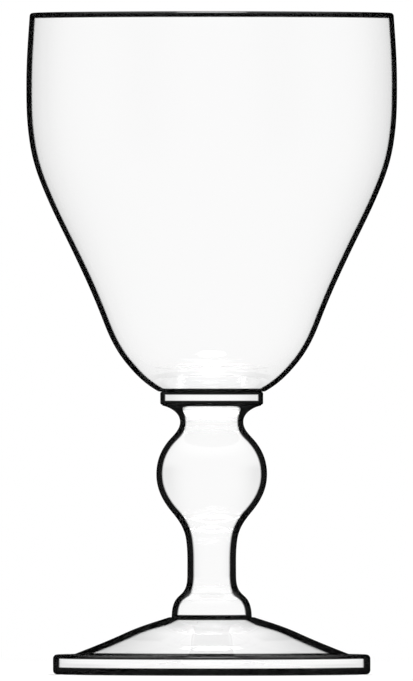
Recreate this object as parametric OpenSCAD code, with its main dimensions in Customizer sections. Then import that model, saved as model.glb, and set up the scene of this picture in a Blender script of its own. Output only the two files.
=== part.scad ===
// Stemmed water goblet in clear glass: a bowl, a collar disc, a knopped stem and a domed foot on a disc.
// Every piece is turned about the upright axis and stands on the flat top of the piece below it.

/* [Bowl] */
// Height of the bowl over the collar disc
bowl_h = 91.6; // [84:0.1:100]
// Outside diameter at the rim
rim_d = 88.1; // [80:0.1:96]
// Widest outside diameter of the bowl
belly_d = 89.7; // [80:0.1:98]
// Height of the widest place over the collar disc
belly_h = 74.1; // [66:0.1:80]
// Outside diameter where the round cup turns into the straight flare
hip_d = 52.6; // [46:0.1:60]
// Height of that turn over the collar disc
hip_h = 17.2; // [14:0.1:22]
// Thickness of the wall at the rim
rim_wall = 1.5; // [1:0.1:2.5]
// Thickness of the wall at the turn into the cup
bowl_wall = 2; // [1.4:0.1:3.5]
// Thickness of solid glass under the middle of the cup
bowl_base_t = 3.2; // [2.4:0.1:5]
// How far the foot of the bowl stands out past the collar disc
bowl_overhang = 0.4; // [0:0.1:1]

/* [Collar disc] */
// Diameter of the disc between bowl and stem
collar_d = 24.9; // [20:0.1:30]
// Thickness of that disc
collar_t = 3.2; // [2:0.1:6]
// Radius of its fire-polished edges
collar_edge_r = 0.5; // [0.1:0.1:0.9]

/* [Stem] */
// Height of the stem from the foot dome to the collar disc
stem_h = 51.4; // [50:0.1:60]
// Narrowest diameter of the neck under the collar disc
neck_d = 15.3; // [10:0.1:19]
// Height of the neck over the foot dome
neck_h = 47.3; // [46:0.1:48.5]
// Diameter of the ball knop
knop_d = 26.8; // [20:0.1:32]
// Height of the middle of the knop over the foot dome
knop_h = 34.6; // [30:0.1:38]
// Diameter of the straight shank
shank_d = 11.8; // [9:0.1:15]
// Height of the foot of the shank over the foot dome
shank_h = 10.7; // [8:0.1:14]
// Diameter of the stem where it stands on the foot dome
stem_base_d = 19.4; // [16:0.1:24]
// Thickness of the flared lip that meets the collar disc
stem_lip_t = 0.2; // [0.1:0.1:0.6]

/* [Foot] */
// Diameter of the foot disc
foot_d = 76.8; // [70:0.1:90]
// Thickness of the foot disc
foot_t = 4.8; // [4.4:0.1:7]
// Radius of the rounded edges of the foot disc
foot_edge_r = 1; // [0.2:0.1:2]
// Diameter of the dome where it meets the foot disc
dome_d = 67; // [60:0.1:69]
// Height of the dome over the foot disc
dome_h = 9; // [7:0.1:14]
// Width of the step on top of the dome round the base of the stem
dome_step = 0.6; // [0.2:0.1:1.5]
// Width of the flat ring that the goblet stands on
ring_w = 5.4; // [3:0.1:9]
// Depth of the hollow inside that ring
hollow_h = 2.6; // [1:0.1:3.4]
// Diameter of the ground spot in the middle of the hollow
pontil_d = 17; // [10:0.1:24]
// Extra depth of the ground spot
pontil_h = 0.5; // [0.1:0.1:0.8]

/* [Hidden] */
$fn = 128;
clear_glass = [0.9, 0.96, 0.97, 0.5];

// Steps along each stretch of an outline and round each small arc
curve_steps = 8;
arc_steps = 6;

// Length of a curve's handles, as a share of the distance between its two knots
reach_share = 0.36;

// Levels of the joints between the pieces, from the table up
dome_level = foot_t;
stem_level = dome_level + dome_h;
collar_level = stem_level + stem_h;
bowl_level = collar_level + collar_t;

// Radius of the flat faces of the collar disc, which the flared lip of the stem covers
joint_r = collar_d / 2 - collar_edge_r;

// Lean of each side from the upright, in degrees, positive where it widens upwards
rim_lean = -4;
belly_lean = 0;
hip_lean = 21;
bowl_foot_lean = 61;
lip_lean = 78;
knop_lean = 0;
stem_base_lean = -2;
dome_edge_lean = -69;
dome_top_lean = -72;

// Knots between two main knots of an outline: share of the way out, share of the way up, lean
cup_shares = [[0.56, 0.378, 40]];
floor_shares = [[0.5, 0.07, 76], [0.78, 0.345, 42]];
flare_shares = [[0.388, 0.288, 25.5], [0.728, 0.52, 23.5], [0.954, 0.752, 9]];
stem_base_shares = [[0.21, 0.364, -27], [0.658, 0.542, -44]];
under_knop_shares = [[0.04, 0.339, 8], [0.493, 0.615, 40]];
over_knop_shares = [[0.609, 0.685, -43]];
dome_shares = [[0.547, 0.583, -65.5]];

// A knot is a radius, a height and a lean. A side runs upright at 0 degrees and outwards at 90.
function spot(knot) = [knot[0], knot[1]];
function heading(lean) = [sin(lean), cos(lean)];
function inward(way) = [-way[1], way[0]] / norm(way);
function mixed(a, b, share) = a + (b - a) * share;

// The knots from one main knot to the next, with those of a share table between them
function stretch(a, b, shares) = [
    a,
    for (s = shares) [mixed(a[0], b[0], s[0]), mixed(a[1], b[1], s[1]), s[2]],
    b
];

// A curve from knot to knot that takes each knot's lean: its four handles, its place and its heading
function handles(a, b) =
    let (reach = reach_share * norm(spot(b) - spot(a)))
    [spot(a), spot(a) + reach * heading(a[2]), spot(b) - reach * heading(b[2]), spot(b)];
function along(h, t) =
    pow(1 - t, 3) * h[0] + 3 * pow(1 - t, 2) * t * h[1] + 3 * (1 - t) * t * t * h[2] + pow(t, 3) * h[3];
function way(h, t) =
    pow(1 - t, 2) * (h[1] - h[0]) + 2 * (1 - t) * t * (h[2] - h[1]) + t * t * (h[3] - h[2]);

// The points of an outline through its knots
function side(knots) = [
    spot(knots[0]),
    for (i = [1:len(knots) - 1], s = [1:curve_steps])
        along(handles(knots[i - 1], knots[i]), s / curve_steps)
];

// The same outline moved inwards by a wall that changes evenly from its first height to its last
function inner_side(knots, first_wall, last_wall) =
    let (low = knots[0][1], high = knots[len(knots) - 1][1])
    [
        for (i = [1:len(knots) - 1], s = [i == 1 ? 0 : 1:curve_steps])
            let (
                h = handles(knots[i - 1], knots[i]),
                t = s / curve_steps,
                point = along(h, t),
                wall = mixed(first_wall, last_wall, (point[1] - low) / (high - low))
            )
            point + wall * inward(way(h, t))
    ];

// Points round a small arc, a list of points in the opposite order, and a list without its first point
function arc(centre, r, from, to) =
    [for (i = [0:arc_steps]) centre + r * heading(mixed(from, to, i / arc_steps))];
function backwards(points) = [for (i = [len(points) - 1:-1:0]) points[i]];
function onwards(points) = [for (i = [1:len(points) - 1]) points[i]];

// Height of a shallow round dish at a distance from its middle
function dish(r, depth, x) =
    let (ball_r = (r * r + depth * depth) / (2 * depth))
    sqrt(ball_r * ball_r - x * x) - ball_r + depth;

// Bowl: outer side, rounded rim, inner side and a rounded cup floor
rim_knot = [rim_d / 2, bowl_h - rim_wall / 2 * (1 + sin(rim_lean)), rim_lean];
belly_knot = [belly_d / 2, belly_h, belly_lean];
hip_knot = [hip_d / 2, hip_h, hip_lean];
bowl_foot_knot = [collar_d / 2 + bowl_overhang, 0, bowl_foot_lean];
cup_knots = stretch(bowl_foot_knot, hip_knot, cup_shares);
flare_knots = concat(stretch(hip_knot, belly_knot, flare_shares), [rim_knot]);
inner_flare = inner_side(flare_knots, bowl_wall, rim_wall);
floor_edge_knot = [inner_flare[0][0], inner_flare[0][1], hip_lean];
floor_knots = stretch([0, bowl_base_t, 90], floor_edge_knot, floor_shares);
rim_middle = spot(rim_knot) + rim_wall / 2 * inward(heading(rim_lean));

// Stem: outer side from the foot dome to the collar disc
stem_base_knot = [stem_base_d / 2, 0, stem_base_lean];
shank_knot = [shank_d / 2, shank_h, 0];
knop_knot = [knop_d / 2, knop_h, knop_lean];
neck_knot = [neck_d / 2, neck_h, 0];
lip_knot = [joint_r, stem_h - stem_lip_t, lip_lean];
stem_knots = concat(
    stretch(stem_base_knot, shank_knot, stem_base_shares),
    onwards(stretch(shank_knot, knop_knot, under_knop_shares)),
    onwards(stretch(knop_knot, neck_knot, over_knop_shares)),
    [lip_knot]
);

// Foot: the sloping side of the dome, and the standing ring and hollow under the disc
dome_edge_knot = [dome_d / 2, 0, dome_edge_lean];
dome_top_knot = [stem_base_d / 2 + dome_step, dome_h, dome_top_lean];
ring_r = foot_d / 2 - foot_edge_r;
hollow_r = ring_r - ring_w;
function underside(x) =
    dish(hollow_r, hollow_h, x) + (2 * x < pontil_d ? pontil_h * (1 - pow(2 * x / pontil_d, 2)) : 0);
hollow_steps = 4 * curve_steps;

module turned(points, level) {
    color(clear_glass) translate([0, 0, level]) rotate_extrude() polygon(points);
}

module bowl() {
    turned(concat(
        [[0, 0]],
        side(concat(cup_knots, onwards(flare_knots))),
        onwards(arc(rim_middle, rim_wall / 2, 90 + rim_lean, rim_lean - 90)),
        onwards(backwards(inner_flare)),
        onwards(backwards(side(floor_knots)))
    ), bowl_level);
}

module collar_disc() {
    turned(concat(
        [[0, 0]],
        arc([joint_r, collar_edge_r], collar_edge_r, 180, 90),
        arc([joint_r, collar_t - collar_edge_r], collar_edge_r, 90, 0),
        [[0, collar_t]]
    ), collar_level);
}

module stem() {
    turned(concat([[0, 0]], side(stem_knots), [[joint_r, stem_h], [0, stem_h]]), stem_level);
}

module foot_dome() {
    turned(concat(
        [[0, 0]],
        side(stretch(dome_edge_knot, dome_top_knot, dome_shares)),
        [[0, dome_h]]
    ), dome_level);
}

module foot_disc() {
    turned(concat(
        [for (i = [0:hollow_steps]) let (x = hollow_r * i / hollow_steps) [x, underside(x)]],
        arc([ring_r, foot_edge_r], foot_edge_r, 180, 90),
        arc([ring_r, foot_t - foot_edge_r], foot_edge_r, 90, 0),
        [[0, foot_t]]
    ), 0);
}

bowl();
collar_disc();
stem();
foot_dome();
foot_disc();
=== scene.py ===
"""A stemmed water goblet in clear glass: five turned pieces, fused one on the other, on a pale table."""

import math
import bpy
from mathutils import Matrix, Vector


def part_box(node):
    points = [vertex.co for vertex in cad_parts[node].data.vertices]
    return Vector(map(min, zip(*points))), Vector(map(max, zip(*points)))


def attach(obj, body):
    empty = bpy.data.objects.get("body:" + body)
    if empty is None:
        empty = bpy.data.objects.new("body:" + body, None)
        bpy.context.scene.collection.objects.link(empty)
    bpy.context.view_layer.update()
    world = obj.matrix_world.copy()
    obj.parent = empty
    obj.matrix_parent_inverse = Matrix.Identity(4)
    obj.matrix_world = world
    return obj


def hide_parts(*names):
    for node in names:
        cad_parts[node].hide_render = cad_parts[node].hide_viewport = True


bl_info = {
    "name": "Water goblet",
    "version": (1, 0, 0),
    "blender": (4, 5, 0),
    "location": "View3D > Sidebar > Goblet",
    "description": "Turns the glass pieces of a stemmed water goblet and stands them on a pale table",
    "category": "Add Mesh",
}

import bpy
from mathutils import Vector

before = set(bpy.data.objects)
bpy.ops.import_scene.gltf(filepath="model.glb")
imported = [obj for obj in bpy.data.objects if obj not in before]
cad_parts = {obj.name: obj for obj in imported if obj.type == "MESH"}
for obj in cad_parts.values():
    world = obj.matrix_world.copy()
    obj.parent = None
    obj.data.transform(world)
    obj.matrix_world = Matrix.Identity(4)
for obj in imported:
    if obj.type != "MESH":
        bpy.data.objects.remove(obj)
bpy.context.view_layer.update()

MM = 0.001
BODY = "root"

# Levels of the joints between the pieces, from the table up, and of the rim
DOME_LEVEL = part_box("foot_dome")[0].z
STEM_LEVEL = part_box("stem")[0].z
COLLAR_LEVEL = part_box("collar_disc")[0].z
BOWL_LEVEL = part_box("bowl")[0].z
RIM_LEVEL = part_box("bowl")[1].z


def width_of(node):
    """Diameter of a round node."""
    low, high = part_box(node)
    return high.x - low.x


# Steps round a turned piece, along each stretch of an outline, across the hollow and round each small arc
TURN_STEPS = 160
CURVE_STEPS = 14
HOLLOW_STEPS = 4 * CURVE_STEPS
ARC_STEPS = 8

# Side of the small plane that each outline grows from
START_PLANE = 2 * MM

# Points closer than this become one
MERGE_GAP = 0.002 * MM

# A face lies in a joint when all its points are this close to the level of the joint
JOINT_GAP = 0.01 * MM

# Edges that turn by more than this stay crisp
CRISP_ANGLE = math.radians(24)

# Name of the attribute that places the painted shade of the dark edge lines, and its value where there is no
# outer side
EDGE_TURN = "edge_turn"
NO_SIDE = 2

# A side whose normal points outwards by less than this share isn't an outer side
LEAST_OUTWARDS = 0.05

# Length of a curve's handles, as a share of the distance between its two knots
REACH_SHARE = 0.36

# Lean of each side from the upright, in degrees, positive where it widens upwards
RIM_LEAN = -4
HIP_LEAN = 21
BOWL_FOOT_LEAN = 61
LIP_LEAN = 78
STEM_BASE_LEAN = -2
DOME_EDGE_LEAN = -69
DOME_TOP_LEAN = -72

# Knots between two main knots of an outline: share of the way out, share of the way up, lean
CUP_SHARES = [(0.56, 0.378, 40)]
FLOOR_SHARES = [(0.5, 0.07, 76), (0.78, 0.345, 42)]
FLARE_SHARES = [(0.388, 0.288, 25.5), (0.728, 0.52, 23.5), (0.954, 0.752, 9)]
STEM_BASE_SHARES = [(0.21, 0.364, -27), (0.658, 0.542, -44)]
UNDER_KNOP_SHARES = [(0.04, 0.339, 8), (0.493, 0.615, 40)]
OVER_KNOP_SHARES = [(0.609, 0.685, -43)]
DOME_SHARES = [(0.547, 0.583, -65.5)]


def length(name, description, default):
    return bpy.props.FloatProperty(
        name=name, description=description, default=default, min=0, subtype="DISTANCE", unit="LENGTH"
    )


def colour(name, description, default):
    return bpy.props.FloatVectorProperty(
        name=name, description=description, default=default, min=0, max=1, size=3, subtype="COLOR"
    )


class GobletLooks(bpy.types.PropertyGroup):
    """Colours, and the width of the painted dark lines, that a maker would change."""

    tint: colour("Tint", "Colour of the clear glass", (1, 1, 1))
    # Edge is the colour of the painted shade at the glass's dark edges and lines, which stands in for the
    # dark edges that refraction shows
    edge: colour("Edge", "Colour of the glass at its dark edges and joints", (0.0001, 0.0001, 0.0001))
    table: colour("Table", "Colour of the table", (0.9, 0.9, 0.9))
    line_w: length("Edge line", "Width of the dark lines at the edges and joints", 1.3 * MM)


class GobletSizes(bpy.types.PropertyGroup):
    """Sizes of the goblet that a maker would change."""

    rim_d: length("Rim", "Outside diameter at the rim", 88.1 * MM)
    belly_d: length("Belly", "Widest outside diameter of the bowl", width_of("bowl"))
    belly_h: length("Belly height", "Height of the widest place over the collar disc", 74.1 * MM)
    hip_d: length("Hip", "Outside diameter where the round cup turns into the straight flare", 52.6 * MM)
    hip_h: length("Hip height", "Height of that turn over the collar disc", 17.2 * MM)
    rim_wall: length("Rim wall", "Thickness of the wall at the rim", 1.5 * MM)
    bowl_wall: length("Bowl wall", "Thickness of the wall at the turn into the cup", 2 * MM)
    bowl_base_t: length("Bowl base", "Thickness of solid glass under the middle of the cup", 3.2 * MM)
    bowl_overhang: length("Overhang", "How far the foot of the bowl stands out past the collar", 0.4 * MM)
    collar_d: length("Collar", "Diameter of the disc between bowl and stem", width_of("collar_disc"))
    collar_edge_r: length("Collar edge", "Radius of the fire-polished edges of the collar disc", 0.5 * MM)
    neck_d: length("Neck", "Narrowest diameter of the neck under the collar disc", 15.3 * MM)
    neck_h: length("Neck height", "Height of the neck over the foot dome", 47.3 * MM)
    knop_d: length("Knop", "Diameter of the ball knop", width_of("stem"))
    knop_h: length("Knop height", "Height of the middle of the knop over the foot dome", 34.6 * MM)
    shank_d: length("Shank", "Diameter of the straight shank", 11.8 * MM)
    shank_h: length("Shank height", "Height of the foot of the shank over the foot dome", 10.7 * MM)
    stem_base_d: length("Stem base", "Diameter of the stem where it stands on the foot dome", 19.4 * MM)
    stem_lip_t: length("Stem lip", "Thickness of the flared lip that meets the collar disc", 0.2 * MM)
    foot_d: length("Foot", "Diameter of the foot disc", width_of("foot_disc"))
    foot_edge_r: length("Foot edge", "Radius of the rounded edges of the foot disc", 1 * MM)
    dome_d: length("Dome", "Diameter of the dome where it meets the foot disc", width_of("foot_dome"))
    dome_step: length("Dome step", "Width of the step round the base of the stem", 0.6 * MM)
    ring_w: length("Ring", "Width of the flat ring that the goblet stands on", 5.4 * MM)
    hollow_h: length("Hollow", "Depth of the hollow inside that ring", 2.6 * MM)
    pontil_d: length("Ground spot", "Diameter of the ground spot in the middle of the hollow", 17 * MM)
    pontil_h: length("Ground spot depth", "Extra depth of the ground spot", 0.5 * MM)


def sine(degrees):
    return math.sin(math.radians(degrees))


def cosine(degrees):
    return math.cos(math.radians(degrees))


# A knot is (radius, height, lean). A side runs upright at 0 degrees and outwards at 90.
def spot(knot):
    return Vector((knot[0], knot[1]))


def heading(lean):
    return Vector((sine(lean), cosine(lean)))


def inward(way):
    return Vector((-way.y, way.x)).normalized()


def mixed(a, b, share):
    return a + (b - a) * share


def stretch(a, b, shares):
    """The knots from one main knot to the next, with those of a share table between them."""
    return [a] + [(mixed(a[0], b[0], out), mixed(a[1], b[1], up), lean) for out, up, lean in shares] + [b]


def handles(a, b):
    """The four handles of the curve between two knots that takes their leans."""
    start, end = spot(a), spot(b)
    reach = REACH_SHARE * (end - start).length
    return start, start + reach * heading(a[2]), end - reach * heading(b[2]), end


def along(h, t):
    """The point of a curve at a share of its way."""
    return (1 - t) ** 3 * h[0] + 3 * (1 - t) ** 2 * t * h[1] + 3 * (1 - t) * t**2 * h[2] + t**3 * h[3]


def way(h, t):
    """The direction of a curve there."""
    return (1 - t) ** 2 * (h[1] - h[0]) + 2 * (1 - t) * t * (h[2] - h[1]) + t**2 * (h[3] - h[2])


def side(knots):
    """The points of an outline through its knots."""
    points = [spot(knots[0])]
    for a, b in zip(knots, knots[1:]):
        h = handles(a, b)
        points += [along(h, s / CURVE_STEPS) for s in range(1, CURVE_STEPS + 1)]
    return points


def inner_side(knots, first_wall, last_wall):
    """The same outline moved inwards by a wall that changes evenly from its first height to its last."""
    low, high = knots[0][1], knots[-1][1]
    points = []
    for i, (a, b) in enumerate(zip(knots, knots[1:])):
        h = handles(a, b)
        for s in range(0 if i == 0 else 1, CURVE_STEPS + 1):
            point = along(h, s / CURVE_STEPS)
            wall = mixed(first_wall, last_wall, (point.y - low) / (high - low))
            points.append(point + wall * inward(way(h, s / CURVE_STEPS)))
    return points


def arc(centre, r, start, end):
    """The points of an arc from one heading to another."""
    return [centre + r * heading(mixed(start, end, i / ARC_STEPS)) for i in range(ARC_STEPS + 1)]


def dish(r, depth, x):
    """Height of a shallow round dish at a distance from its middle."""
    ball_r = (r * r + depth * depth) / (2 * depth)
    return math.sqrt(ball_r * ball_r - x * x) - ball_r + depth


def turned(name, outline, level):
    """One closed piece of glass: an outline extruded point by point, then spun about the upright axis."""
    bpy.ops.object.select_all(action="DESELECT")
    bpy.ops.mesh.primitive_plane_add(size=START_PLANE)
    piece = bpy.context.object
    piece.name = piece.data.name = name
    bpy.ops.object.mode_set(mode="EDIT")
    bpy.ops.mesh.merge(type="CENTER")
    bpy.ops.transform.translate(value=(outline[0].x, 0, level + outline[0].y))
    for here, there in zip(outline, outline[1:]):
        step = (there.x - here.x, 0, there.y - here.y)
        bpy.ops.mesh.extrude_region_move(TRANSFORM_OT_translate={"value": step})
    bpy.ops.mesh.select_all(action="SELECT")
    bpy.ops.mesh.spin(steps=TURN_STEPS, angle=math.tau, center=(0, 0, 0), axis=(0, 0, 1))
    bpy.ops.mesh.select_all(action="SELECT")
    bpy.ops.mesh.remove_doubles(threshold=MERGE_GAP)
    bpy.ops.mesh.normals_make_consistent(inside=False)
    bpy.ops.object.mode_set(mode="OBJECT")
    bpy.ops.object.shade_smooth_by_angle(angle=CRISP_ANGLE)
    return piece


def joint_faces(piece, level, radius):
    """Gives the second material to the flat faces inside a fused joint."""
    for face in piece.data.polygons:
        flat = all(abs(piece.data.vertices[v].co.z - level) < JOINT_GAP for v in face.vertices)
        if flat and face.center.xy.length < radius:
            face.material_index = 1


def edge_turn(piece, line_w):
    """Notes on each point how far its outer side has turned away from sight where its painted dark edge line
    begins.
    """
    turn = piece.data.attributes.new(EDGE_TURN, "FLOAT", "POINT")
    for vertex, value in zip(piece.data.vertices, turn.data):
        radius = vertex.co.xy.length
        outwards = vertex.normal.xy.dot(vertex.co.xy) / max(radius, MM)
        value.value = NO_SIDE
        if outwards > LEAST_OUTWARDS and radius > MM:
            value.value = 1 - math.sqrt(2 * line_w * outwards / radius)


def in_place(piece, node):
    """Puts a finished piece on the body, in place of its CAD node."""
    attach(piece, BODY)
    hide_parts(node)


class Wire:
    """An output socket. Sums and products of wires and numbers add Math nodes."""

    def __init__(self, tree, socket):
        self.tree = tree
        self.socket = socket

    def math(self, operation, first, *others):
        node = self.tree.nodes.new("ShaderNodeMath")
        node.operation = operation
        for socket, value in zip(node.inputs, (first,) + others):
            if isinstance(value, Wire):
                self.tree.links.new(value.socket, socket)
            else:
                socket.default_value = value
        return Wire(self.tree, node.outputs[0])

    def __add__(self, other):
        return self.math("ADD", self, other)

    def __radd__(self, other):
        return self.math("ADD", other, self)

    def __sub__(self, other):
        return self.math("SUBTRACT", self, other)

    def __rsub__(self, other):
        return self.math("SUBTRACT", other, self)

    def __mul__(self, other):
        return self.math("MULTIPLY", self, other)

    def __rmul__(self, other):
        return self.math("MULTIPLY", other, self)

    def __truediv__(self, other):
        return self.math("DIVIDE", self, other)

    def __abs__(self):
        return self.math("ABSOLUTE", self)

    def least(self, other):
        return self.math("MINIMUM", self, other)

    def most(self, other):
        return self.math("MAXIMUM", self, other)

    def root(self):
        return self.math("SQRT", self)


# A Mix node has sockets of one name for numbers and for colours, so its colours go by their places
FIRST_COLOUR = 6
SECOND_COLOUR = 7
MIXED_COLOUR = 2

# With this blend, Layer Weight gives 0 where a face looks straight at us and 1 where it is edge-on
PLAIN_BLEND = 0.5


class Bench:
    """Adds nodes to one node tree."""

    def __init__(self, tree):
        self.tree = tree
        tree.nodes.clear()

    def add(self, kind, settings=None, sockets=None, out=0):
        """Adds a node with its settings and the values or links of its sockets, and returns one output."""
        node = self.tree.nodes.new(kind)
        for name, value in (settings or {}).items():
            setattr(node, name, value)
        for name, value in (sockets or {}).items():
            if isinstance(value, Wire):
                self.tree.links.new(value.socket, node.inputs[name])
            else:
                node.inputs[name].default_value = value
        return Wire(self.tree, node.outputs[out]) if node.outputs else node

    def parts(self, vector):
        """The three numbers of a vector."""
        node = self.add("ShaderNodeSeparateXYZ", sockets={"Vector": vector}).socket.node
        return [Wire(self.tree, output) for output in node.outputs]

    def paths(self):
        """1 or 0 for a ray straight from the camera, one that has gone through glass and a mirrored one."""
        seen, glossy, depth = (
            self.add("ShaderNodeLightPath", out=name)
            for name in ("Is Camera Ray", "Is Glossy Ray", "Transmission Depth")
        )
        through = glossy * depth.least(1)
        return seen, through, glossy * (1 - through)

    def ramp(self, value, start, end):
        """0 below start, 1 above end and smooth between them."""
        return self.add(
            "ShaderNodeMapRange",
            {"interpolation_type": "SMOOTHSTEP"},
            {"Value": value, "From Min": start, "From Max": end},
        )

    def noise(self, place, scale, detail):
        """Cloudy values about a half."""
        sockets = {"Vector": place, "Scale": scale, "Detail": detail}
        return self.add("ShaderNodeTexNoise", sockets=sockets, out="Fac")

    def colours(self, share, first, second):
        """One colour that turns into another."""
        sockets = {"Factor": share, FIRST_COLOUR: (*first, 1), SECOND_COLOUR: (*second, 1)}
        return self.add("ShaderNodeMix", {"data_type": "RGBA"}, sockets, out=MIXED_COLOUR)

    def shaders(self, share, first, second):
        """One shader that turns into another."""
        return self.add("ShaderNodeMixShader", sockets={0: share, 1: first, 2: second})


GLASS_IOR = 1.52

# The slow drift in the glass, and how strongly it waves the face of blown and of tooled glass
DRIFT_SCALE = 22.0
DRIFT_DETAIL = 1.0
WAVE_HEIGHT = 0.2 * MM
BLOWN_WAVES = 0.1
TOOLED_WAVES = 0.05

# Share of the lamp's light that each face lets through, straight on and at its edges, and how far it has
# turned away where the light begins to drop and where it is least
SHADOW = (0.93, 0.93, 0.93)
SHADOW_EDGE = (0.35, 0.35, 0.35)
SHADOW_START = 0.5
SHADOW_END = 0.95

# The painted edge shade is darkest where the glass turns this much more, and clear where it turns this much
# less
LINE_SOFTNESS = 0.07

# Share by which the painted dark edges waver with the drift
LINE_WAVER = 0.12

# Past 1, over this step, the value kept on each point takes the painted dark edge away
NO_SIDE_STEP = 0.1

# Keeps a division away from zero
LEAST_DIVISOR = 0.001

# How much wider the painted dark edge lines are at the sides of stem, dome and foot disc
STEM_SIDES = 1.12
DOME_SIDES = 1.22
DISC_SIDES = 1.3

# How far the painted dark line at each joint and rounded edge reaches, in widths of the line. It is painted
# shade that stands in for the dark edges that refraction shows there, and at the foot of the disc for the
# shadow where it meets the table too
RIM_LINE = 1.1
BOWL_FOOT_LINE = 0.6
COLLAR_TOP_LINE = 0.6
COLLAR_FOOT_LINE = 0.8
STEM_LIP_LINE = 0.3
STEM_FOOT_LINE = 0.5
DOME_TOP_LINE = 0.5
DOME_FOOT_LINE = 0.4
DISC_TOP_LINE = 0.75
DISC_FOOT_LINE = 1.4

# Share of the rim's wall, from its outer side inwards, that the painted shade line of the rim covers
BEAD_SHARE = 0.7

# Heights past both ends of the goblet, for a line that is bounded on one side only
FAR_UP = 1
FAR_DOWN = -1

# Steps over which a dark line or a worn patch begins and ends
LINE_STEP = 0.12 * MM
WEAR_STEP = 0.3 * MM

# Roughness of the ground spot, and its fine grit with the least and the spread of its share
GROUND = 0.32
GRIT_SCALE = 900.0
GRIT_DETAIL = 3.0
GRIT_LEAST = 0.6
GRIT_SPREAD = 0.8

# Roughness of the scuffed ring that the goblet stands on, and its scuffs, from none to full
SCUFFED = 0.14
SCUFF_SCALE = 260.0
SCUFF_DETAIL = 5.0
SCUFF_NONE = 0.45
SCUFF_FULL = 0.7

# How far the bent normal of a shallow slope has turned away where the slope's painted edge shade is still
# clear, and where it is dark
SLOPE_CLEAR = 0.44
SLOPE_DARK = 0.5

# How much paler the painted dark edges and lines are where they are seen through other glass
BEHIND_GLASS = 0.8

JOINT_GLASS = "fused_joint"


def line_over(level, reach, least=0):
    """Where a painted shade line lies that ends a reach over a level: lowest and highest place, least
    radius.
    """
    return FAR_DOWN, level + reach, least


def line_under(level, reach, least=0):
    """The same for a line that begins a reach under a level."""
    return level - reach, FAR_UP, least


def new_material(name):
    """A material with an empty bench for its nodes."""
    material = bpy.data.materials.new(name)
    material.use_nodes = True
    return material, Bench(material.node_tree)


def painted_side_shade(bench, facing, drift):
    """Painted shade for the dark edges that refraction shows: 1 where an outer side has turned away from
    sight, 0 where it hasn't.
    """
    start = bench.add("ShaderNodeAttribute", {"attribute_name": EDGE_TURN}, out="Fac")
    share = (1 - start) * (1 - LINE_WAVER + 2 * LINE_WAVER * drift)
    turned_away = (1 - facing) / share.most(LEAST_DIVISOR)
    dark = bench.ramp(turned_away, 1 + LINE_SOFTNESS, 1 - LINE_SOFTNESS)
    return dark * (1 - bench.ramp(start, 1, 1 + NO_SIDE_STEP))


def slope_shade_mask(bench, x, y, radius):
    """Mask on the painted edge shade of a shallow slope: 1 where a normal bent outwards and down has turned
    away too, 0 where it hasn't.
    """
    bent = bench.add("ShaderNodeCombineXYZ", sockets={"X": x / radius, "Y": y / radius, "Z": -1})
    bent = bench.add("ShaderNodeVectorMath", {"operation": "NORMALIZE"}, {0: bent})
    facing = bench.add("ShaderNodeLayerWeight", sockets={"Blend": PLAIN_BLEND, "Normal": bent}, out="Facing")
    return bench.ramp(facing, SLOPE_CLEAR, SLOPE_DARK)


def painted_shade_line(bench, z, radius, low, high, least):
    """Painted shade line: 1 between two heights beyond a radius, 0 elsewhere."""
    above = bench.ramp(z, low - LINE_STEP, low + LINE_STEP)
    below = 1 - bench.ramp(z, high - LINE_STEP, high + LINE_STEP)
    outside = bench.ramp(radius, least - LINE_STEP, least + LINE_STEP)
    return above * below * outside


def wear(bench, place, z, radius, ground_r, ring_r):
    """Roughness of glass that is ground within one radius, and scuffed where it stands beyond another."""
    grit = bench.noise(place, GRIT_SCALE, GRIT_DETAIL)
    scuffs = bench.noise(place, SCUFF_SCALE, SCUFF_DETAIL)
    inside = 1 - bench.ramp(radius, ground_r - WEAR_STEP, ground_r + WEAR_STEP)
    ground = inside * (GRIT_LEAST + GRIT_SPREAD * grit)
    standing = bench.ramp(radius, ring_r, ring_r + WEAR_STEP) * (1 - bench.ramp(z, 0, WEAR_STEP))
    return (GROUND * ground).most(SCUFFED * standing * bench.ramp(scuffs, SCUFF_NONE, SCUFF_FULL))


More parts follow.
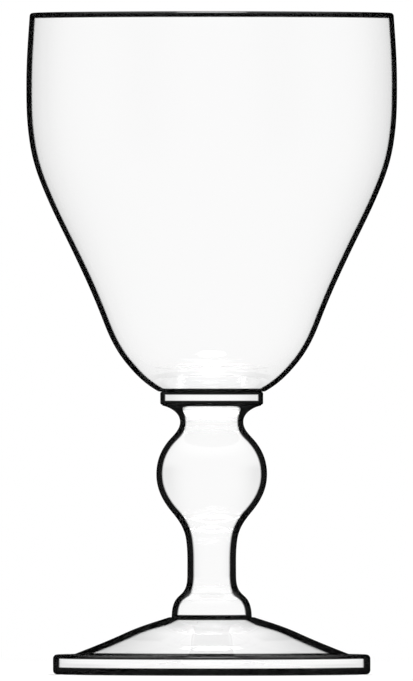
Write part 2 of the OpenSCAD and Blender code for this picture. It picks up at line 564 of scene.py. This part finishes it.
def glass_material(name, looks, waves, lines, shallow=False, worn=None):
    """Clear glass with the slight unevenness of blowing and tooling. Its base colour has painted shade for
    the dark edges that
    refraction shows: it turns dark where its sides turn away, and so does each line. On a shallow slope the
    sides are judged on a bent normal as well. Worn glass has the radius of its ground spot and the inner
    radius of the ring it stands on."""
    material, bench = new_material(name)
    place = bench.add("ShaderNodeTexCoord", out="Object")
    x, y, z = bench.parts(place)
    radius = (x * x + y * y).root()
    drift = bench.noise(place, DRIFT_SCALE, DRIFT_DETAIL)
    bump = bench.add("ShaderNodeBump", sockets={"Strength": waves, "Distance": WAVE_HEIGHT, "Height": drift})
    facing = bench.add("ShaderNodeLayerWeight", sockets={"Blend": PLAIN_BLEND}, out="Facing")
    front = 1 - bench.add("ShaderNodeNewGeometry", out="Backfacing")
    # Painted shade: the base colour turns to the edge colour where the sides turn away from sight
    dark = painted_side_shade(bench, facing, drift)
    if shallow:
        dark = dark * slope_shade_mask(bench, x, y, radius)
    # Painted shade lines at the rim, the rounded edges and the joints, on front faces only
    for line in lines:
        dark = dark.most(painted_shade_line(bench, z, radius, *line) * front)
    # Painted shade in reflections: glass seen by a mirrored ray is painted dark all over, and the painted
    # shade is paler where it is seen through other glass
    through, mirrored = bench.paths()[1:]
    dark = (dark * (1 - BEHIND_GLASS * through)).most(mirrored)
    finish = {
        "Base Color": bench.colours(dark, looks.tint, looks.edge),
        "Roughness": wear(bench, place, z, radius, *worn) if worn else 0,
        "IOR": GLASS_IOR,
        "Transmission Weight": 1,
        "Normal": bump,
    }
    shader = bench.add("ShaderNodeBsdfPrincipled", sockets=finish)
    straight_on = bench.add("ShaderNodeBsdfTransparent", sockets={"Color": (*SHADOW, 1)})
    at_edge = bench.add("ShaderNodeBsdfTransparent", sockets={"Color": (*SHADOW_EDGE, 1)})
    shadow = bench.shaders(bench.ramp(facing, SHADOW_START, SHADOW_END), straight_on, at_edge)
    both = bench.shaders(bench.add("ShaderNodeLightPath", out="Is Shadow Ray"), shader, shadow)
    bench.add("ShaderNodeOutputMaterial", sockets={"Surface": both})
    return material


def joint_material():
    """The inside of a fused joint, where the glass runs on from one piece to the next."""
    material, bench = new_material(JOINT_GLASS)
    clear = bench.add("ShaderNodeBsdfTransparent", sockets={"Color": (1, 1, 1, 1)})
    bench.add("ShaderNodeOutputMaterial", sockets={"Surface": clear})
    return material


def dress(piece, material, line_w):
    """Gives a piece its glass, the clear glass of its joints and the values for its painted dark edges."""
    edge_turn(piece, line_w)
    piece.data.materials.append(material)
    piece.data.materials.append(bpy.data.materials.get(JOINT_GLASS) or joint_material())


class GOBLET_OT_bowl(bpy.types.Operator):
    """Turn the bowl: outer side, rounded rim, inner side and a rounded cup floor"""

    bl_idname = "goblet.bowl"
    bl_label = "Bowl"

    def execute(self, context):
        s = context.scene.goblet
        looks = context.scene.goblet_looks
        height = RIM_LEVEL - BOWL_LEVEL
        rim = (s.rim_d / 2, height - s.rim_wall / 2 * (1 + sine(RIM_LEAN)), RIM_LEAN)
        belly = (s.belly_d / 2, s.belly_h, 0)
        hip = (s.hip_d / 2, s.hip_h, HIP_LEAN)
        foot = (s.collar_d / 2 + s.bowl_overhang, 0, BOWL_FOOT_LEAN)
        joint_r = s.collar_d / 2 - s.collar_edge_r
        flare = stretch(hip, belly, FLARE_SHARES) + [rim]
        inner = inner_side(flare, s.bowl_wall, s.rim_wall)
        floor = side(stretch((0, s.bowl_base_t, 90), (inner[0].x, inner[0].y, HIP_LEAN), FLOOR_SHARES))
        rim_middle = spot(rim) + s.rim_wall / 2 * inward(heading(RIM_LEAN))
        outline = [Vector((0, 0)), Vector((joint_r, 0))]
        outline += side(stretch(foot, hip, CUP_SHARES) + flare[1:])
        outline += arc(rim_middle, s.rim_wall / 2, 90 + RIM_LEAN, RIM_LEAN - 90)[1:]
        outline += inner[-2::-1] + floor[-2::-1]
        bowl = turned("blown_bowl", outline, BOWL_LEVEL)
        bead = s.rim_d / 2 - BEAD_SHARE * s.rim_wall
        w = looks.line_w
        lines = [line_over(BOWL_LEVEL, BOWL_FOOT_LINE * w), line_under(RIM_LEVEL, RIM_LINE * w, bead)]
        dress(bowl, glass_material("blown_glass", looks, BLOWN_WAVES, lines), w)
        joint_faces(bowl, BOWL_LEVEL, joint_r)
        in_place(bowl, "bowl")
        return {"FINISHED"}


class GOBLET_OT_collar(bpy.types.Operator):
    """Turn the flat collar disc between bowl and stem"""

    bl_idname = "goblet.collar"
    bl_label = "Collar disc"

    def execute(self, context):
        s = context.scene.goblet
        looks = context.scene.goblet_looks
        joint_r = s.collar_d / 2 - s.collar_edge_r
        thickness = BOWL_LEVEL - COLLAR_LEVEL
        outline = [Vector((0, 0))]
        outline += arc(Vector((joint_r, s.collar_edge_r)), s.collar_edge_r, 180, 90)
        outline += arc(Vector((joint_r, thickness - s.collar_edge_r)), s.collar_edge_r, 90, 0)
        outline += [Vector((0, thickness))]
        collar = turned("collar", outline, COLLAR_LEVEL)
        w = looks.line_w
        lines = [line_over(COLLAR_LEVEL, COLLAR_FOOT_LINE * w), line_under(BOWL_LEVEL, COLLAR_TOP_LINE * w)]
        dress(collar, glass_material("collar_glass", looks, TOOLED_WAVES, lines), w)
        joint_faces(collar, COLLAR_LEVEL, joint_r)
        joint_faces(collar, BOWL_LEVEL, joint_r)
        in_place(collar, "collar_disc")
        return {"FINISHED"}


class GOBLET_OT_stem(bpy.types.Operator):
    """Turn the stem: bell-shaped base, straight shank, ball knop, neck and flared lip"""

    bl_idname = "goblet.stem"
    bl_label = "Stem"

    def execute(self, context):
        s = context.scene.goblet
        looks = context.scene.goblet_looks
        height = COLLAR_LEVEL - STEM_LEVEL
        joint_r = s.collar_d / 2 - s.collar_edge_r
        base = (s.stem_base_d / 2, 0, STEM_BASE_LEAN)
        shank = (s.shank_d / 2, s.shank_h, 0)
        knop = (s.knop_d / 2, s.knop_h, 0)
        neck = (s.neck_d / 2, s.neck_h, 0)
        lip = (joint_r, height - s.stem_lip_t, LIP_LEAN)
        knots = stretch(base, shank, STEM_BASE_SHARES)
        knots += stretch(shank, knop, UNDER_KNOP_SHARES)[1:]
        knots += stretch(knop, neck, OVER_KNOP_SHARES)[1:] + [lip]
        outline = [Vector((0, 0))] + side(knots) + [Vector((joint_r, height)), Vector((0, height))]
        stem = turned("knopped_stem", outline, STEM_LEVEL)
        w = looks.line_w
        lines = [line_over(STEM_LEVEL, STEM_FOOT_LINE * w), line_under(COLLAR_LEVEL, STEM_LIP_LINE * w)]
        dress(stem, glass_material("stem_glass", looks, TOOLED_WAVES, lines), STEM_SIDES * w)
        joint_faces(stem, STEM_LEVEL, s.stem_base_d / 2)
        joint_faces(stem, COLLAR_LEVEL, joint_r)
        in_place(stem, "stem")
        return {"FINISHED"}


class GOBLET_OT_dome(bpy.types.Operator):
    """Turn the low dome of the foot"""

    bl_idname = "goblet.dome"
    bl_label = "Foot dome"

    def execute(self, context):
        s = context.scene.goblet
        looks = context.scene.goblet_looks
        height = STEM_LEVEL - DOME_LEVEL
        edge = (s.dome_d / 2, 0, DOME_EDGE_LEAN)
        top = (s.stem_base_d / 2 + s.dome_step, height, DOME_TOP_LEAN)
        outline = [Vector((0, 0))] + side(stretch(edge, top, DOME_SHARES))
        outline += [Vector((s.stem_base_d / 2, height)), Vector((0, height))]
        dome = turned("domed_foot", outline, DOME_LEVEL)
        w = looks.line_w
        lines = [line_over(DOME_LEVEL, DOME_FOOT_LINE * w), line_under(STEM_LEVEL, DOME_TOP_LINE * w)]
        glass = glass_material("dome_glass", looks, TOOLED_WAVES, lines, shallow=True)
        dress(dome, glass, DOME_SIDES * w)
        joint_faces(dome, DOME_LEVEL, s.dome_d / 2)
        joint_faces(dome, STEM_LEVEL, s.stem_base_d / 2)
        in_place(dome, "foot_dome")
        return {"FINISHED"}


class GOBLET_OT_disc(bpy.types.Operator):
    """Turn the foot disc, with its standing ring, hollow and ground spot underneath"""

    bl_idname = "goblet.disc"
    bl_label = "Foot disc"

    def execute(self, context):
        s = context.scene.goblet
        looks = context.scene.goblet_looks
        ring_r = s.foot_d / 2 - s.foot_edge_r
        hollow_r = ring_r - s.ring_w
        outline = []
        for i in range(HOLLOW_STEPS + 1):
            x = hollow_r * i / HOLLOW_STEPS
            ground = max(0, s.pontil_h * (1 - (2 * x / s.pontil_d) ** 2))
            outline.append(Vector((x, dish(hollow_r, s.hollow_h, x) + ground)))
        outline += arc(Vector((ring_r, s.foot_edge_r)), s.foot_edge_r, 180, 90)
        outline += arc(Vector((ring_r, DOME_LEVEL - s.foot_edge_r)), s.foot_edge_r, 90, 0)
        outline += [Vector((s.dome_d / 2, DOME_LEVEL)), Vector((0, DOME_LEVEL))]
        disc = turned("foot_plate", outline, 0)
        w = looks.line_w
        edge = s.foot_d / 2 - w
        lines = [line_over(0, DISC_FOOT_LINE * w, edge), line_under(DOME_LEVEL, DISC_TOP_LINE * w, edge)]
        worn = (s.pontil_d / 2, hollow_r)
        dress(disc, glass_material("foot_glass", looks, TOOLED_WAVES, lines, worn=worn), DISC_SIDES * w)
        joint_faces(disc, DOME_LEVEL, s.dome_d / 2)
        in_place(disc, "foot_disc")
        return {"FINISHED"}


# The picture is 413 by 681 pixels. The rim and the table are at these rows, the axis at this column.
PICTURE_SIZE = (413, 681)
RIM_ROW = 12.9
TABLE_ROW = 674.3
AXIS_COLUMN = 211.7

# Focal length and height of the sensor, in millimetres, and how far the camera sees, in its own distances
LENS = 1000
SENSOR = 20
SIGHT = 3

# The table lies this far under the goblet, so that their faces don't share a level
TABLE_R = 0.7
TABLE_STEPS = 128
TABLE_GAP = 0.05 * MM

# Between these radii the lit table runs out into the white surroundings
TABLE_PLAIN_R = 0.16
TABLE_WHITE_R = 0.5

# A round softbox, straight over the goblet
LAMP_HEIGHT = 1.4
LAMP_D = 0.5
LAMP_POWER = 11.4

# Brightness of what the glass mirrors, but for the softbox overhead, which begins and is full at these
# heights over the table, in degrees
MIRRORED = 0.003
SOFTBOX_START = 28
SOFTBOX_FULL = 60

# How much darker the glass sees the four corners of the studio than its four windows
CORNER_SHADE = 0.12

# How far round from the middle of a window a corner begins and is full, and how high up it ends, in degrees
CORNER_START = 8
CORNER_FULL = 42
CORNER_TOP = 50

# Between these radii the corners come up on the table
CORNER_NEAR_R = 0.1
CORNER_FAR_R = 0.6

# Brightness of the surroundings for light that scatters off the table
SCATTERED = 0.6

# Light runs on inside the glass for this many bounces, and through this many clear faces
BOUNCES = 200
CLEAR_FACES = 64


class GOBLET_OT_stage(bpy.types.Operator):
    """Set the camera, the pale table, the light and the surroundings"""

    bl_idname = "goblet.stage"
    bl_label = "Camera, table and light"

    def execute(self, context):
        scene = context.scene
        self.camera(scene)
        self.table(scene.goblet_looks)
        self.world(scene)
        self.light()
        scene.view_settings.view_transform = "Standard"
        scene.cycles.max_bounces = BOUNCES
        scene.cycles.transmission_bounces = BOUNCES
        scene.cycles.glossy_bounces = BOUNCES
        scene.cycles.transparent_max_bounces = CLEAR_FACES
        return {"FINISHED"}

    def camera(self, scene):
        """Level with the middle of the picture, with the rim and the table at their rows."""
        pixel = RIM_LEVEL / (TABLE_ROW - RIM_ROW)
        across = (PICTURE_SIZE[0] / 2 - AXIS_COLUMN) * pixel
        height = (TABLE_ROW - PICTURE_SIZE[1] / 2) * pixel
        distance = PICTURE_SIZE[1] * pixel * LENS / SENSOR
        bpy.ops.object.camera_add(location=(across, -distance, height), rotation=(math.pi / 2, 0, 0))
        camera = bpy.context.object
        camera.data.lens = LENS
        camera.data.sensor_fit = "VERTICAL"
        camera.data.sensor_height = SENSOR
        camera.data.clip_end = SIGHT * distance
        scene.camera = camera

    def corner(self, bench, x, y):
        """0 towards the four windows of the studio and 1 towards its four corners."""
        facing = abs(x).most(abs(y)) / (x * x + y * y).root().most(LEAST_DIVISOR)
        return 1 - bench.ramp(facing, cosine(CORNER_FULL), cosine(CORNER_START))

    def table(self, looks):
        """A pale table. Through glass it is white with the corners on it, and the glass mirrors it dark."""
        bpy.ops.object.select_all(action="DESELECT")
        bpy.ops.mesh.primitive_circle_add(
            vertices=TABLE_STEPS, radius=TABLE_R, fill_type="NGON", location=(0, 0, -TABLE_GAP)
        )
        table = bpy.context.object
        table.name = "table"
        material, bench = new_material("pale_table")
        seen, through, mirrored = bench.paths()
        x, y = bench.parts(bench.add("ShaderNodeTexCoord", out="Object"))[:2]
        radius = (x * x + y * y).root()
        out = bench.ramp(radius, TABLE_PLAIN_R, TABLE_WHITE_R)
        plain = bench.add("ShaderNodeBsdfDiffuse", sockets={"Color": (*looks.table, 1)})
        white = bench.add("ShaderNodeEmission", sockets={"Strength": 1})
        spread = bench.shaders((out * seen).most(through), plain, white)
        shade = CORNER_SHADE * self.corner(bench, x, y) * bench.ramp(radius, CORNER_NEAR_R, CORNER_FAR_R)
        dark = bench.add("ShaderNodeEmission", sockets={"Strength": 0})
        both = bench.shaders((shade * through).most((1 - MIRRORED) * mirrored), spread, dark)
        bench.add("ShaderNodeOutputMaterial", sockets={"Surface": both})
        table.data.materials.append(material)

    def world(self, scene):
        """White to the camera. The glass also sees its corners, a little darker, and mirrors little but
        the top."""
        world = bpy.data.worlds.new("studio")
        world.use_nodes = True
        scene.world = world
        bench = Bench(world.node_tree)
        x, y, z = bench.parts(bench.add("ShaderNodeTexCoord", out="Generated"))
        high = bench.ramp(z, 0, sine(CORNER_TOP))
        behind = 1 - CORNER_SHADE * self.corner(bench, x, y) * (1 - high)
        softbox = bench.ramp(z, sine(SOFTBOX_START), sine(SOFTBOX_FULL))
        above = MIRRORED + (1 - MIRRORED) * softbox
        seen, through, mirrored = bench.paths()
        rest = 1 - seen.most(through).most(mirrored)
        level = seen + through * behind + mirrored * above + rest * SCATTERED
        dark = bench.add("ShaderNodeBackground", sockets={"Color": (0, 0, 0, 1)})
        white = bench.add("ShaderNodeBackground", sockets={"Color": (1, 1, 1, 1)})
        bench.add("ShaderNodeOutputWorld", sockets={"Surface": bench.shaders(level, dark, white)})

    def light(self):
        bpy.ops.object.light_add(type="AREA", location=(0, 0, LAMP_HEIGHT))
        lamp = bpy.context.object
        lamp.name = "overhead_softbox"
        lamp.data.shape = "DISK"
        lamp.data.size = LAMP_D
        lamp.data.energy = LAMP_POWER


class GOBLET_PT_panel(bpy.types.Panel):
    """Lists the steps that make the goblet"""

    bl_idname = "GOBLET_PT_panel"
    bl_label = "Water goblet"
    bl_space_type = "VIEW_3D"
    bl_region_type = "UI"
    bl_category = "Goblet"

    def draw(self, context):
        column = self.layout.column(align=True)
        for step in STEPS:
            column.operator(step.bl_idname)
        for group in (context.scene.goblet, context.scene.goblet_looks):
            for name in type(group).__annotations__:
                column.prop(group, name)


STEPS = (
    GOBLET_OT_stage,
    GOBLET_OT_disc,
    GOBLET_OT_dome,
    GOBLET_OT_stem,
    GOBLET_OT_collar,
    GOBLET_OT_bowl,
)
CLASSES = (GobletSizes, GobletLooks) + STEPS + (GOBLET_PT_panel,)


def register():
    for cls in CLASSES:
        bpy.utils.register_class(cls)
    bpy.types.Scene.goblet = bpy.props.PointerProperty(type=GobletSizes)
    bpy.types.Scene.goblet_looks = bpy.props.PointerProperty(type=GobletLooks)


def unregister():
    del bpy.types.Scene.goblet_looks
    del bpy.types.Scene.goblet
    for cls in reversed(CLASSES):
        bpy.utils.unregister_class(cls)


def main():
    register()
    bpy.ops.goblet.stage()
    bpy.ops.goblet.disc()
    bpy.ops.goblet.dome()
    bpy.ops.goblet.stem()
    bpy.ops.goblet.collar()
    bpy.ops.goblet.bowl()


if __name__ == "__main__":
    main()
